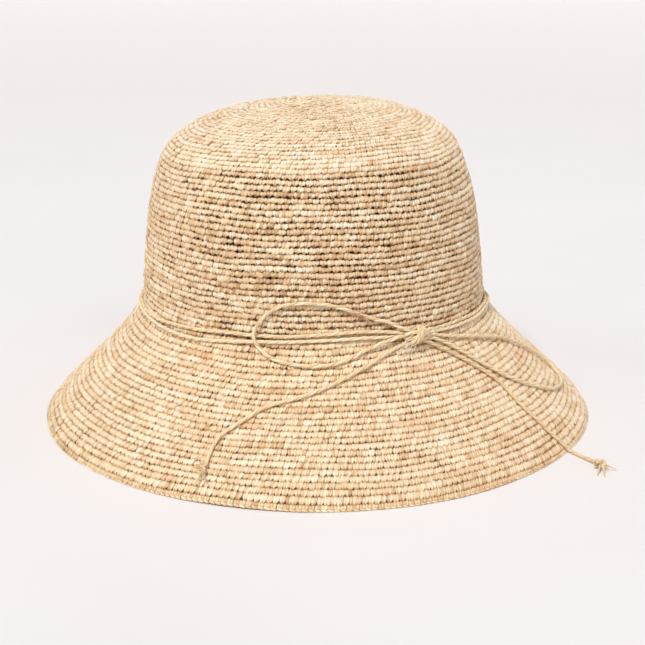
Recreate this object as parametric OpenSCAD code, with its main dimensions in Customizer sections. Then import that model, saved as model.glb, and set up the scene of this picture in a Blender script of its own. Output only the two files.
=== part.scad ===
// Crocheted raffia sun hat: a tall round crown and a steep bell-shaped brim,
// with a twisted raffia cord passed twice round the crown and tied in a bow.
// Z is up, the hat stands on the hem of its brim at z = 0, and the crown's axis is the Z axis.
// The bow is at the front right: X is the wearer's left, and the front of the hat is -Y.

/* [Crown] */
// Outer radius of the crown where it meets the brim
crown_r = 95; // [90:0.5:100]
// Height of the crown above the brim
crown_h = 110; // [100:1:120]
// Outer radius at the shoulder, as a share of the crown's radius
shoulder_share = 0.863; // [0.84:0.001:0.88]

/* [Brim] */
// Outer radius of the brim's hem
brim_r = 153; // [148:1:160]
// Height of the crown and brim junction above the hem
brim_h = 65; // [60:0.5:70]

/* [Straw] */
// Thickness of the crocheted raffia
straw_t = 2.4; // [2:0.1:2.6]
// Share of the brim's depth taken up by the finishing round
edge_share = 0.045; // [0.03:0.005:0.06]

/* [Sweatband] */
// Inner radius of the sweatband, which sets the head size
band_r = 89.5; // [89:0.1:89.6]
// Width of the sweatband's ribbon
band_w = 26; // [20:1:26]
// Number of stitches that hold the sweatband
stitch_count = 48; // [24:4:60]

/* [Tied cord] */
// Diameter of the twisted raffia cord
cord_d = 1.8; // [1.4:0.1:2]
// Direction of the bow, in degrees from +X towards +Y
bow_az = -57.5; // [-57.5:0.5:-57]

/* [Hidden] */
$fn = 180;

hat_h = brim_h + crown_h;
brim_w = brim_r - crown_r;
shoulder_r = shoulder_share * crown_r;
cord_r = cord_d / 2;

// The hat's outer outline is three curves, each with four control points [radius, height]:
// the brim from its hem to the crown, the crown's side, and the crown's tip.
BRIM_CURVE = [
    [brim_r, 0],
    [crown_r + 0.78 * brim_w, 0.31 * brim_h],
    [crown_r + 0.17 * brim_w, 0.68 * brim_h],
    [crown_r, brim_h]
];
SIDE_CURVE = [
    [crown_r, brim_h],
    [0.98 * crown_r, brim_h + 0.27 * crown_h],
    [0.968 * crown_r, brim_h + 0.545 * crown_h],
    [shoulder_r, brim_h + 0.745 * crown_h]
];
TIP_CURVE = [
    [shoulder_r, brim_h + 0.745 * crown_h],
    [0.8 * crown_r, brim_h + 0.864 * crown_h],
    [0.526 * crown_r, brim_h + 0.955 * crown_h],
    [0, hat_h]
];

// A place along the outline is one number: 0 at the hem, 1 at the junction,
// 2 at the shoulder and 3 at the middle of the tip.
junction = 1;
shoulder = 2;
tip = 3;
// Where the start ring of the crochet ends.
start_place = 2.93;

function curve_at(c, t) =
    pow(1 - t, 3) * c[0] + 3 * pow(1 - t, 2) * t * c[1] + 3 * (1 - t) * t * t * c[2] + pow(t, 3) * c[3];
function curve_slope(c, t) =
    3 * pow(1 - t, 2) * (c[1] - c[0]) + 6 * (1 - t) * t * (c[2] - c[1]) + 3 * t * t * (c[3] - c[2]);
function curve_of(u) = u < junction ? BRIM_CURVE : u < shoulder ? SIDE_CURVE : TIP_CURVE;
function share_of(u) = u < junction ? u : u < shoulder ? u - junction : u - shoulder;
function outline(u) = curve_at(curve_of(u), share_of(u));
function outward(u) = let (s = curve_slope(curve_of(u), share_of(u))) [s[1], -s[0]] / norm(s);
function inner_outline(u) = let (p = outline(u) - straw_t * outward(u)) [max(p[0], 0), p[1]];
function along(u0, u1, steps) = [for (i = [0:steps]) u0 + (u1 - u0) * i / steps];

// A point above the hat: az in degrees, place u on the outline, height off the surface.
function on_hat(az, u, lift) =
    let (p = outline(u) + lift * outward(u)) [p[0] * cos(az), p[0] * sin(az), p[1]];
function cylindrical(az, r, z) = [r * cos(az), r * sin(az), z];

// One zone of crochet between two places on the outline.
module crochet_zone(u0, u1, steps) {
    us = along(u0, u1, steps);
    rotate_extrude()
        polygon(concat(
            [for (i = [0:steps]) outline(us[i])],
            [for (i = [steps:-1:0]) inner_outline(us[i])]
        ));
}

module start_ring() {
    color("#dcc093") crochet_zone(start_place, tip, 3);
}

module crown_tip() {
    color("#d9bb8e") crochet_zone(shoulder, start_place, 20);
}

module crown_side() {
    color("#d6b88b") crochet_zone(junction, shoulder, 20);
}

module brim() {
    color("#e2c79d") crochet_zone(edge_share, junction, 24);
}

// The finishing round: its lowest face is flat, because the hat stands on it.
module brim_edge() {
    hem_w = straw_t / outward(0)[0];
    color("#e6cda6")
        rotate_extrude()
            polygon([
                outline(0), outline(edge_share / 2), outline(edge_share),
                inner_outline(edge_share), [brim_r - hem_w, 0]
            ]);
}

// The ribbon inside the crown, and the stitches along its lower edge.
ribbon_t = 0.8;
band_low = brim_h + 1;
stitch_z = band_low + 2;
stitch_reach = 0.3;
join_w = 12;
join_h = 15;
join_t = 0.5;

module sweatband() {
    color("#e9dcc3")
        rotate_extrude()
            translate([band_r, band_low]) square([ribbon_t, band_w]);
}

// The ribbon's end, turned under behind the overlap at the back.
module sweatband_join() {
    half_angle = join_w / (2 * band_r) * 180 / PI;
    color("#e2d4b8")
        rotate([0, 0, 90 - half_angle])
            rotate_extrude(angle = 2 * half_angle)
                translate([band_r + ribbon_t, stitch_z + 1]) square([join_t, join_h]);
}

module sweatband_stitching() {
    inner = band_r + ribbon_t / 4;
    outer = crown_r - straw_t + stitch_reach;
    for (i = [0:stitch_count - 1])
        color("#efe6d2")
            rotate([0, 0, (i + 0.5) * 360 / stitch_count])
                translate([inner, -1.5, stitch_z - 0.35]) cube([outer - inner, 3, 0.7]);
}

// The cord's two turns round the foot of the crown.
cord_gap = 0.35;
upper_turn_z = brim_h + 2.6;
lower_turn_z = brim_h - 0.1;

module cord_turn(r, z) {
    color("#d9c08d")
        translate([0, 0, z]) rotate_extrude() translate([r, 0]) circle(r = cord_r, $fn = 32);
}

module band_cord_upper() {
    cord_turn(crown_r + cord_gap + cord_r, upper_turn_z);
}

module band_cord_lower() {
    cord_turn(crown_r + cord_gap + cord_r + 0.4, lower_turn_z);
}

// The knot of the bow: a barrel of wrapped cord that lies along the band.
knot_r = 3.4;
knot_half = 5;
knot_out = 4.4;

module at_bow(out, z) {
    rotate([0, 0, bow_az]) translate([crown_r + out, 0, z]) children();
}

module bow_knot() {
    steps = 10;
    zs = along(-knot_half, knot_half, steps);
    color("#d3b783")
        at_bow(knot_out, brim_h - 0.4)
            rotate([90, 0, 0])
                rotate_extrude($fn = 48)
                    polygon(concat(
                        [[0, -knot_half]],
                        [for (z = zs) [knot_r * (1 - 0.4 * pow(z / knot_half, 2)), z]],
                        [[0, knot_half]]
                    ));
}

// Loose fibres that stand out of the knot: [turn about Z, tilt from straight up, length].
WISPS = [[-38, 72, 7], [-16, 96, 9], [6, 60, 8], [24, 84, 7]];

module knot_wisps() {
    color("#eadfc4")
        at_bow(knot_out, brim_h - 0.4)
            for (w = WISPS)
                rotate([0, 0, w[0]]) rotate([0, w[1], 0])
                    translate([0, 0, knot_r - 1]) cylinder(h = w[2], r1 = 0.3, r2 = 0.12, $fn = 24);
}

// Routes of the bow's free lengths, as [direction in degrees, place on the outline, height off it].
LOOP_LEFT_ROUTE = [
    [-63, 1.05, 3.6], [-67, 1.09, 2], [-72, 1.12, 1.6], [-76, 1.15, 1.6], [-80, 1.18, 1.6],
    [-85, 1.21, 1.6], [-90, 1.22, 1.6], [-95, 1.22, 1.6], [-100, 1.2, 1.7], [-103.5, 1.16, 2],
    [-106, 1.11, 2.8], [-107.5, 1.05, 3.7], [-107.5, 0.99, 3.8], [-106, 0.94, 2.6], [-104, 0.9, 1.8],
    [-100, 0.86, 1.6], [-95, 0.84, 1.6], [-90, 0.83, 1.6], [-85, 0.84, 1.6], [-80, 0.87, 1.6],
    [-76, 0.91, 1.7], [-71, 0.95, 2.4], [-67, 0.97, 3.2], [-63, 0.985, 3.8]
];
LOOP_RIGHT_ROUTE = [
    [-52.5, 0.96, 2.8], [-49.5, 0.945, 1.8], [-45, 0.915, 1.6], [-40, 0.885, 1.6], [-35, 0.855, 1.6],
    [-30, 0.82, 1.6], [-24.5, 0.78, 1.6], [-20, 0.74, 1.6], [-15.5, 0.68, 1.6], [-11, 0.6, 1.6],
    [-7.5, 0.52, 1.6], [-5.5, 0.45, 1.6], [-5, 0.38, 1.6], [-7, 0.32, 1.6], [-11, 0.295, 1.6],
    [-16, 0.31, 1.6], [-20.5, 0.35, 1.6], [-25, 0.42, 1.6], [-29.5, 0.49, 1.6], [-33.5, 0.57, 1.6],
    [-36.5, 0.64, 1.6], [-40, 0.72, 1.6], [-44, 0.81, 1.6], [-48, 0.885, 1.6], [-52, 0.93, 2.2]
];
TAIL_LEFT_ROUTE = [
    [-62, 0.935, 2.2], [-66, 0.91, 1.6], [-71, 0.865, 1.6], [-75, 0.82, 1.6], [-79, 0.78, 1.6],
    [-83, 0.74, 1.6], [-87.5, 0.695, 1.6], [-92, 0.655, 1.6], [-96, 0.625, 1.6], [-100, 0.595, 1.6],
    [-103, 0.56, 1.6], [-105.5, 0.51, 1.6], [-108.5, 0.45, 1.6], [-110.5, 0.4, 1.6],
    [-111.5, 0.34, 1.6], [-111.8, 0.285, 1.6], [-111.9, 0.25, 2], [-111.8, 0.225, 2.6]
];
TAIL_RIGHT_ROUTE = [
    [-53, 0.895, 2.2], [-49.5, 0.845, 1.6], [-45.5, 0.775, 1.6], [-42, 0.7, 1.6], [-39, 0.62, 1.6],
    [-37, 0.54, 1.6], [-36.5, 0.46, 1.6], [-36, 0.37, 1.6], [-34.8, 0.27, 1.6], [-33.9, 0.17, 1.6],
    [-32.9, 0.08, 1.7], [-32.2, 0.03, 1.9]
];
// The rest of the right tail lies beyond the hem: [direction in degrees, radius, height].
TAIL_RIGHT_FREE = [
    [-31.9, 156.6, 1.6], [-32.4, 160.5, 1.2], [-33.2, 165.5, 1.2], [-34.3, 171, 2], [-35, 174.4, 2.9]
];

function route_on_hat(route) = [for (p = route) on_hat(p[0], p[1], p[2])];
function route_free(route) = [for (p = route) cylindrical(p[0], p[1], p[2])];

// A round cord swept through a list of points, closed at both ends.
function unit(v) = v / norm(v);
function heading(pts, i) = unit(pts[min(i + 1, len(pts) - 1)] - pts[max(i - 1, 0)]);
// Up and away from the crown: never along a cord that lies on the hat or beside it.
function away(p) = unit([p[0] / norm([p[0], p[1]]), p[1] / norm([p[0], p[1]]), 1]);
function cord_ring(pts, i, r, sides) =
    let (
        t = heading(pts, i),
        side = unit(cross(t, away(pts[i]))),
        lift = cross(side, t)
    )
    [for (k = [0:sides - 1]) pts[i] + r * (cos(k * 360 / sides) * side + sin(k * 360 / sides) * lift)];

module cord_along(pts, r = cord_r, sides = 8) {
    rings = len(pts);
    points = [for (i = [0:rings - 1]) each cord_ring(pts, i, r, sides)];
    walls = [
        for (i = [0:rings - 2], k = [0:sides - 1])
            let (a = i * sides + k, b = i * sides + (k + 1) % sides)
            [a, b, b + sides, a + sides]
    ];
    first = [for (k = [sides - 1:-1:0]) k];
    last = [for (k = [0:sides - 1]) (rings - 1) * sides + k];
    polyhedron(points = points, faces = concat([first], walls, [last]), convexity = 6);
}

module bow_loop_left() {
    color("#dcc492") cord_along(route_on_hat(LOOP_LEFT_ROUTE));
}

// The fuzzy place where two lengths of raffia are spliced into one cord.
module splice_tuft() {
    color("#c98f5e") translate(on_hat(-76, 1.15, 2)) sphere(r = 1.6, $fn = 32);
}

module bow_loop_right() {
    color("#dcc492") cord_along(route_on_hat(LOOP_RIGHT_ROUTE));
}

module bow_tail_left() {
    color("#dcc492") cord_along(route_on_hat(TAIL_LEFT_ROUTE));
}

module bow_tail_right() {
    color("#dcc492")
        cord_along(concat(route_on_hat(TAIL_RIGHT_ROUTE), route_free(TAIL_RIGHT_FREE)));
}

// The overhand knots at the ends of the tails, and the raffia ends beyond them.
end_knot_r = 3.2;
knot_left_at = on_hat(-111.8, 0.2, 3.7);
knot_right_at = cylindrical(-35.6, 177.2, end_knot_r + 0.1);

module end_knot(at) {
    color("#d3b783") translate(at) sphere(r = end_knot_r, $fn = 32);
}

module tail_knot_left() {
    end_knot(knot_left_at);
}

module tail_knot_right() {
    end_knot(knot_right_at);
}

// Raffia ends fan out of a knot: each is [turn about Z, tilt from straight up, length].
module frayed_ends(at, ends) {
    color("#eadfc4")
        translate(at)
            for (e = ends)
                rotate([0, 0, e[0]]) rotate([0, e[1], 0])
                    translate([0, 0, end_knot_r - 1]) cylinder(h = e[2], r1 = 0.45, r2 = 0.2, $fn = 24);
}

module frayed_ends_left() {
    frayed_ends(knot_left_at, [[-112, 148, 6.5], [-88, 146, 7]]);
}

module frayed_ends_right() {
    frayed_ends(knot_right_at, [[-30, 100, 5.5], [-90, 100, 11], [-108, 104, 7.5]]);
}

start_ring();
crown_tip();
crown_side();
brim();
brim_edge();
sweatband();
sweatband_join();
sweatband_stitching();
band_cord_upper();
band_cord_lower();
bow_knot();
knot_wisps();
bow_loop_left();
splice_tuft();
bow_loop_right();
bow_tail_left();
tail_knot_left();
frayed_ends_left();
bow_tail_right();
tail_knot_right();
frayed_ends_right();
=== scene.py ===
"""Looks of the crocheted raffia sun hat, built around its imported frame.

The hat is crocheted here stitch by stitch: every round of the crown and the brim is a ring of
single crochet stitches, each with two plump legs over the strand that they wrap. The tied cord
is two-ply twisted raffia that follows the same routes as the frame's cords.
Everything is in metres, in the frame's own axes: Z is up and the front of the hat is -Y.
Directions round the hat are angles from +X: degrees in the routes and for humps, else radians.
"""
import math

import bpy
import numpy as np
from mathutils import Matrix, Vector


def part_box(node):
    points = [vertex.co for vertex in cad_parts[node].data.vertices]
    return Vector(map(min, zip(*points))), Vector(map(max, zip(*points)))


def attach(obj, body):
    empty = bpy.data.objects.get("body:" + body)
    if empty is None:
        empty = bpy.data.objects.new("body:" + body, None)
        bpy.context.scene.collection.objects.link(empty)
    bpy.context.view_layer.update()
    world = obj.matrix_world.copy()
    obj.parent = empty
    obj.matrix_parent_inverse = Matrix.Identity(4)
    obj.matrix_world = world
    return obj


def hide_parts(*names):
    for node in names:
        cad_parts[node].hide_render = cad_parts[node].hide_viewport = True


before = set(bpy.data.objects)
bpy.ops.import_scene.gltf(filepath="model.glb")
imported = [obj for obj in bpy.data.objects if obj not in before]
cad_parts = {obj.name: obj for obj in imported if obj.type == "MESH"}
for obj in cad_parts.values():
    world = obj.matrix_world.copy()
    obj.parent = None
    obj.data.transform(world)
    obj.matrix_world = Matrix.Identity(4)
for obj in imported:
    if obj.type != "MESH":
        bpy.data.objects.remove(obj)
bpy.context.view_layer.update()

MM = 0.001
TURN = 2 * math.pi
rng = np.random.default_rng(7)


# -------- camera and light

def make_camera():
    """The view: from the front, a little above the crown, close enough for strong perspective."""
    distance, height, tilt, turn = 0.750, 0.277, 17.13, 0.39
    data = bpy.data.cameras.new("camera")
    data.sensor_width = 36.0
    data.lens = 77.5
    data.clip_start = 0.01
    camera = bpy.data.objects.new("camera", data)
    camera.location = (0.0, -distance, height)
    camera.rotation_euler = (math.radians(90 - tilt), 0.0, math.radians(-turn))
    bpy.context.collection.objects.link(camera)
    bpy.context.scene.camera = camera


def add_sun(name, place, spread, power, colour):
    """A sun lamp that shines from a place towards the origin; a wide spread makes soft shadows."""
    data = bpy.data.lights.new(name, "SUN")
    data.angle = math.radians(spread)
    data.energy = power
    data.color = colour
    lamp = bpy.data.objects.new(name, data)
    x, y, z = place
    lamp.location = place
    lamp.rotation_euler = (math.atan2(math.hypot(x, y), z), 0.0, math.atan2(x, -y))
    bpy.context.collection.objects.link(lamp)


def make_light():
    """A soft studio: a pale room, a key light from the upper left front and a weak, broad fill from
    the right."""
    world = bpy.data.worlds.new("studio")
    world.use_nodes = True
    background = world.node_tree.nodes["Background"].inputs
    background["Color"].default_value = (1.0, 0.985, 0.975, 1.0)
    background["Strength"].default_value = 0.42
    bpy.context.scene.world = world
    add_sun("key", (-0.28, -0.54, 0.80), 10, 2.25, (1.0, 0.985, 0.965))
    add_sun("fill", (0.50, -0.70, 0.50), 50, 0.35, (1.0, 0.985, 0.975))
    bpy.context.scene.view_settings.view_transform = "Standard"
    bpy.context.scene.view_settings.look = "None"


# -------- the hat's outline

hem_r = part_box("brim_edge")[1].x
crown_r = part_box("crown_side")[1].x
brim_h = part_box("sweatband")[0].z - 1 * MM
hat_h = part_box("start_ring")[1].z
crown_h = hat_h - brim_h
brim_w = hem_r - crown_r

# The outline is three curves of four points [radius, height]: brim, crown side and crown tip.
JUNCTION = (crown_r, brim_h)
SHOULDER = (0.863 * crown_r, brim_h + 0.745 * crown_h)
BRIM_CURVE = [
    (hem_r, 0),
    (crown_r + 0.78 * brim_w, 0.31 * brim_h),
    (crown_r + 0.17 * brim_w, 0.68 * brim_h),
    JUNCTION,
]
SIDE_CURVE = [
    JUNCTION,
    (0.98 * crown_r, brim_h + 0.27 * crown_h),
    (0.968 * crown_r, brim_h + 0.545 * crown_h),
    SHOULDER,
]
TIP_CURVE = [
    SHOULDER,
    (0.8 * crown_r, brim_h + 0.864 * crown_h),
    (0.526 * crown_r, brim_h + 0.955 * crown_h),
    (0, hat_h),
]


def curve_points(curve, t):
    """Points [radius, height] on a four-point curve."""
    c = np.array(curve, float)
    t = t[:, None]
    return ((1 - t) ** 3 * c[0] + 3 * (1 - t) ** 2 * t * c[1]
            + 3 * (1 - t) * t * t * c[2] + t ** 3 * c[3])


class Outline:
    """The outline as radius, height and outward direction against the distance s from the hem."""

    def __init__(self, steps=400):
        t = np.linspace(0, 1, steps + 1)
        parts = [curve_points(c, t) for c in (BRIM_CURVE, SIDE_CURVE, TIP_CURVE)]
        points = np.vstack([parts[0], parts[1][1:], parts[2][1:]])
        self.place = np.linspace(0, 3, len(points))
        self.r, self.z = points.T
        self.s = np.concatenate([[0], np.cumsum(np.hypot(np.diff(self.r), np.diff(self.z)))])
        dr = np.gradient(self.r, self.s)
        dz = np.gradient(self.z, self.s)
        size = np.hypot(dr, dz)
        self.nr, self.nz = dz / size, -dr / size
        self.length = self.s[-1]

    def along(self, place):
        """Distance from the hem of a place: 0 hem, 1 junction, 2 shoulder, 3 middle of the tip."""
        return np.interp(place, self.place, self.s)

    def radius(self, s):
        return np.interp(s, self.s, self.r)

    def at(self, s):
        return [np.interp(s, self.s, a) for a in (self.r, self.z, self.nr, self.nz)]


outline = Outline()
JUNCTION_S = outline.along(1)
SHOULDER_S = outline.along(2)


def smooth_step(x, low, high):
    t = np.clip((np.asarray(x) - low) / (high - low), 0, 1)
    return t * t * (3 - 2 * t)


def hump(az, middle, width):
    """A smooth hump round the hat, 1 at its middle and 0 beyond its width (degrees)."""
    off = (np.degrees(az) - middle + 180) % 360 - 180
    return np.where(np.abs(off) < width, 0.5 + 0.5 * np.cos(np.pi * off / width), 0.0)


def softness(az, s):
    """How far the soft straw stands off the exact outline: along its normal, upward, how much the
    crown's top leans to +X, and how far the brim is shifted to +X."""
    az, s = np.broadcast_arrays(az, s)
    brim_share = 1 - smooth_step(s, 0.0, JUNCTION_S)
    crown_share = smooth_step(s, JUNCTION_S + 5 * MM, JUNCTION_S + 45 * MM)
    to_tip = smooth_step(s, outline.length - 75 * MM, outline.length - 5 * MM)
    # Long shallow waves all over, then flatter places at the brim's left and the crown's right.
    waves = (0.5 * np.sin(3 * az + 0.6) + 0.4 * np.sin(5 * az + 2.1 + 30 * s)
             + 0.3 * np.sin(8 * az + 4.0 - 45 * s))
    normal = MM * waves * (0.9 * brim_share + 0.5 * crown_share * (1 - to_tip))
    middle = np.sin(np.pi * np.clip(s / JUNCTION_S, 0, 1))
    normal = normal - MM * middle * (1.4 * hump(az, 180, 90) + 0.1 * hump(az, 0, 90))
    normal = normal - 0.8 * MM * crown_share * hump(az, 0, 80)
    shoulder = np.exp(-((s - SHOULDER_S) / (22 * MM)) ** 2)
    normal = normal - 2.4 * MM * shoulder * hump(az, 5, 75)
    # The tip's rim stands up a little at the back, left and right, and its middle sinks.
    rim = np.exp(-((s - SHOULDER_S - 28 * MM) / (17 * MM)) ** 2)
    lift = MM * rim * (0.9 * hump(az, 150, 60) + 1.6 * hump(az, 58, 50)) - 0.9 * MM * to_tip
    # The hem waves up and down, and the brim's lowest rounds spread outward.
    hem = MM * brim_share ** 3 * (0.10 + 0.35 * np.sin(3 * az - 1.9) + 0.25 * np.sin(7 * az + 1.0))
    lift = lift + np.maximum(hem, 0) - 1.2 * MM * (1 - smooth_step(s, 0, 9 * MM))
    normal = normal + 1.2 * MM * brim_share ** 3 * np.clip(-np.sin(az), 0, 1) ** 2
    rim_push = 0.8 + 0.7 * hump(az, -45, 55) + 0.9 * hump(az, -118, 45)
    normal = normal + MM * rim_push * (1 - smooth_step(s, 0, 14 * MM))
    lean = 0.032 * smooth_step(s, SHOULDER_S - 28 * MM, SHOULDER_S + 12 * MM)
    shift = 1.9 * MM * brim_share ** 2
    return normal, lift, lean, shift


TABLE_GAP = 0.9 * MM


def on_hat(az, s, height):
    """Points at direction az, distance s from the hem and height off the straw's outer face.
    Close to the table the straw is pressed flatter, so that it never goes into the table."""
    r, z, nr, nz = outline.at(s)
    normal, lift, lean, shift = softness(az, s)
    h = height + normal
    radius = r + h * nr
    x = radius * np.cos(az)
    level = z + h * nz + lift + lean * x
    pressed = TABLE_GAP * np.exp(np.minimum(level / TABLE_GAP, 1) - 1)
    level = np.where(level < TABLE_GAP, pressed, level)
    return np.stack([x + shift, radius * np.sin(az), level], axis=-1)


# -------- mesh building

def link_mesh(name, mesh, material):
    """A new object in the scene with a mesh and its material."""
    mesh.materials.append(material)
    piece = bpy.data.objects.new(name, mesh)
    bpy.context.collection.objects.link(piece)
    return piece


def plain_mesh(name, verts, faces, material):
    """A smooth object from a list of points and a list of faces."""
    mesh = bpy.data.meshes.new(name)
    mesh.from_pydata(verts, [], faces)
    for polygon in mesh.polygons:
        polygon.use_smooth = True
    return link_mesh(name, mesh, material)


def flat(values):
    return np.ascontiguousarray(values, np.float32).ravel()


def fibre_mesh(name, verts, loops, counts, uv, fibre, look, material):
    """A smooth object from lists of arrays: loops holds each face's corners one after another, counts
    their numbers. fibre and look are the point attributes that the raffia's material reads."""
    verts, loops, counts, uv, fibre, look = map(np.concatenate, (verts, loops, counts, uv, fibre, look))
    mesh = bpy.data.meshes.new(name)
    mesh.vertices.add(len(verts))
    mesh.vertices.foreach_set("co", flat(verts))
    mesh.loops.add(len(loops))
    mesh.loops.foreach_set("vertex_index", np.ascontiguousarray(loops, np.int32))
    starts = np.concatenate([[0], np.cumsum(counts)[:-1]])
    mesh.polygons.add(len(counts))
    mesh.polygons.foreach_set("loop_start", starts.astype(np.int32))
    mesh.polygons.foreach_set("use_smooth", np.full(len(counts), True))
    mesh.uv_layers.new(name="OFBake").data.foreach_set("uv", flat(uv))
    for key, values in (("fibre", fibre), ("look", look)):
        mesh.attributes.new(key, "FLOAT_VECTOR", "POINT").data.foreach_set("vector", flat(values))
    mesh.update(calc_edges=True)
    return link_mesh(name, mesh, material)


def belong(piece, body, slot, *nodes):
    """Says which frame nodes a piece replaces and the body that it moves with; slot is not used."""
    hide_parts(*nodes)
    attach(piece, body)


def tube_faces(rings, sides):
    """Corners, corner counts and UVs of a tube with closed ends: ring 0's points first, then ring 1's."""
    loops, counts, uv = [], [], []
    for i in range(rings - 1):
        for k in range(sides):
            n = (k + 1) % sides
            loops += [i * sides + k, i * sides + n, (i + 1) * sides + n, (i + 1) * sides + k]
            u0, u1 = (0.06 + 0.88 * (i + d) / (rings - 1) for d in (0, 1))
            v0, v1 = 0.04 + 0.92 * k / sides, 0.04 + 0.92 * (k + 1) / sides
            uv += [(u0, v0), (u0, v1), (u1, v1), (u1, v0)]
            counts.append(4)
    for ring, edge, order in ((0, 0.03, range(sides - 1, -1, -1)), (rings - 1, 0.97, range(sides))):
        for k in order:
            loops.append(ring * sides + k)
            a = TURN * k / sides
            uv.append((edge + 0.02 * math.cos(a), 0.5 + 0.02 * math.sin(a)))
        counts.append(sides)
    return np.array(loops), np.array(counts), np.array(uv)


def unit(v):
    return v / np.maximum(np.linalg.norm(v, axis=-1, keepdims=True), 1e-12)


def run_along(line):
    """The distance of each point of a line from its start."""
    return np.concatenate([[0], np.cumsum(np.linalg.norm(np.diff(line, axis=0), axis=1))])


def tube_points(line, side, lift, width, thick, sides):
    """Points of a flat-oval tube round a line, ring by ring, and each point's place on the tube:
    how far along it is, and where round it."""
    n = len(line)
    a = TURN * np.arange(sides) / sides
    w = np.broadcast_to(width, n)[:, None, None]
    h = np.broadcast_to(thick, n)[:, None, None]
    ring = w * np.cos(a)[None, :, None] * side[:, None] + h * np.sin(a)[None, :, None] * lift[:, None]
    places = [np.repeat(run_along(line), sides), np.tile(np.cos(a), n), np.tile(np.sin(a), n)]
    return (line[:, None] + ring).reshape(-1, 3), np.stack(places, axis=1)


STITCH_SIDES = 6


class Tube:
    """A short tube of a stitch in its own small frame: x round the hat, y towards the tip, z outward.
    Its tone is how much lighter or darker than the rest of its straw it is, ring by ring; the stitches use it
    for painted shade where their ends dive in. shade adds painted shade to that, side by side."""

    def __init__(self, path, width, thick, tone, shade=0.0):
        tangent = unit(np.gradient(path, axis=0))
        side = unit(np.cross(tangent, np.tile([0.0, 0.0, 1.0], (len(path), 1))) + 1e-9)
        self.verts, self.fibre = tube_points(path, side, np.cross(side, tangent), width, thick,
                                             STITCH_SIDES)
        self.loops, self.counts, self.uv = tube_faces(len(path), STITCH_SIDES)
        self.tone = (np.zeros((len(path), STITCH_SIDES)) + np.array(tone)[:, None] + shade).ravel()


def smooth_path(points, steps):
    """A smooth curve through given points, with steps points in all."""
    p = np.array(points, float)
    ends = np.vstack([2 * p[0] - p[1], p, 2 * p[-1] - p[-2]])
    t = np.linspace(0, len(p) - 1, steps)
    i = np.minimum(t.astype(int), len(p) - 2)
    f = (t - i)[:, None]
    a, b, c, d = ends[i], ends[i + 1], ends[i + 2], ends[i + 3]
    return 0.5 * (2 * b + (c - a) * f + (2 * a - 5 * b + 4 * c - d) * f ** 2
                  + (3 * b - a - 3 * c + d) * f ** 3)


# -------- crochet

# How far inside the outline the stitches' own middle plane lies, in millimetres.
SINK = 1.05


def single_crochet(w, p, plump, opening, tall):
    """The tubes of one single crochet stitch, w wide and p high: two legs and the strand they wrap.
    The legs lie side by side, broad at the top of the round, and run together at their feet, which
    dive behind the round below: that leaves a groove between rounds and a hole between neighbours'
    feet. The straw is painted darker where it dives in, and on the hidden outer side of the core strand that
    shows in the holes: painted shade.
    plump is how full the legs are, opening how wide the holes, tall how far the legs reach."""
    slant = 0.30 + 0.08 * rng.standard_normal()
    opening = opening * rng.uniform(0.7, 1.2)
    height = tall * np.array([0.45 - 0.03 * opening, 0.27, 0.10, -0.06, 0.07 * opening - 0.27, -0.50])
    depth = np.array([-0.18, 0.02, 0.16, 0.20, 0.08, -0.34])
    spread = np.array([0.235, 0.24, 0.245, 0.245 - 0.007 * opening, 0.215 - 0.03 * opening,
                       0.175 - 0.05 * opening])
    broad = np.array([1.04, 1.18, 1.25, 1.18 - 0.12 * opening, 0.97 - 0.24 * opening,
                      0.66 - 0.17 * opening])
    # Painted shade: the legs' straw is painted darker towards their ends, where they dive into the grooves.
    tone = [-0.32, -0.06, 0.03, 0.02, -0.12, -0.62]
    tubes = []
    for sign, over in ((-1, -0.05), (1, 0.09)):
        x = sign * (spread + 0.012 * rng.standard_normal(6)) + slant * height
        y = height + 0.022 * rng.standard_normal()
        z = depth * plump + over + 0.06 * rng.standard_normal(6) - SINK
        width = 0.29 * w * broad * (1 + 0.05 * rng.standard_normal())
        thick = 0.55 * MM * plump * np.array([0.85, 0.97, 1.0, 1.0, 0.90, 0.75])
        tubes.append(Tube(np.stack([x * w, y * p, z * MM], axis=1), width, thick, tone))
    core = np.array([(-0.52 * w, 0.02 * p, -(0.42 + SINK) * MM), (0, 0.01 * p, -(0.36 + SINK) * MM),
                     (0.52 * w, 0.0, -(0.42 + SINK) * MM)])
    cover = max(0.16, 0.34 - 0.11 * opening) * tall * p
    # Painted shade on the core strand's outer side, which shows only through the holes.
    outer_painted_shade = np.where(np.sin(TURN * np.arange(STITCH_SIDES) / STITCH_SIDES) > 0.1, -0.8, 0.0)
    tubes.append(Tube(core, cover, 0.55 * MM * plump, [0.0] * len(core), outer_painted_shade))
    return tubes


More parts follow.
